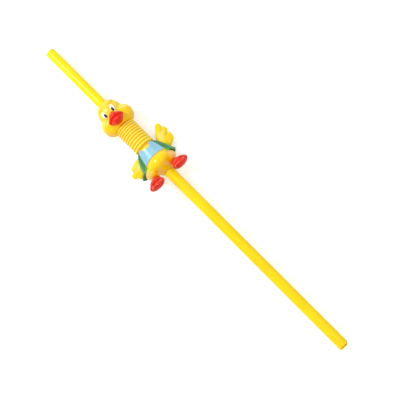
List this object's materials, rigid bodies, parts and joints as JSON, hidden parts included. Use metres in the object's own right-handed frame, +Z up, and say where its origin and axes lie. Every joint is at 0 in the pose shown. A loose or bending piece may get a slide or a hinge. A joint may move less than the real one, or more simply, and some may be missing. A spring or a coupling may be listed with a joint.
{
  "type": "drinking straw",
  "caption": "Reusable plastic drinking straw: a long lower tube, a hollow moulded duckling figure with a bellows neck, and a short upper tube. It lies on its back.",
  "frame": {"origin": "on the table under the middle of the straw, halfway between its two ends", "axes": "+Y runs up the straw to the mouth end, +Z is up and is the side that the face looks to, +X is on the right of someone who looks down at the face"},
  "size_m": [0.0321, 0.2298, 0.021],
  "materials": {
    "figure_plastic": "soft satin gloss, blow-moulded, spray-painted",
    "upper_tube_plastic": "smooth extruded gloss",
    "lower_tube_plastic": "smooth extruded gloss, slightly more orange than the upper tube"
  },
  "bodies": {
    "root": {"duck_figure": "figure_plastic", "upper_straw": "upper_tube_plastic", "lower_straw": "lower_tube_plastic"}
  },
  "joints": []
}
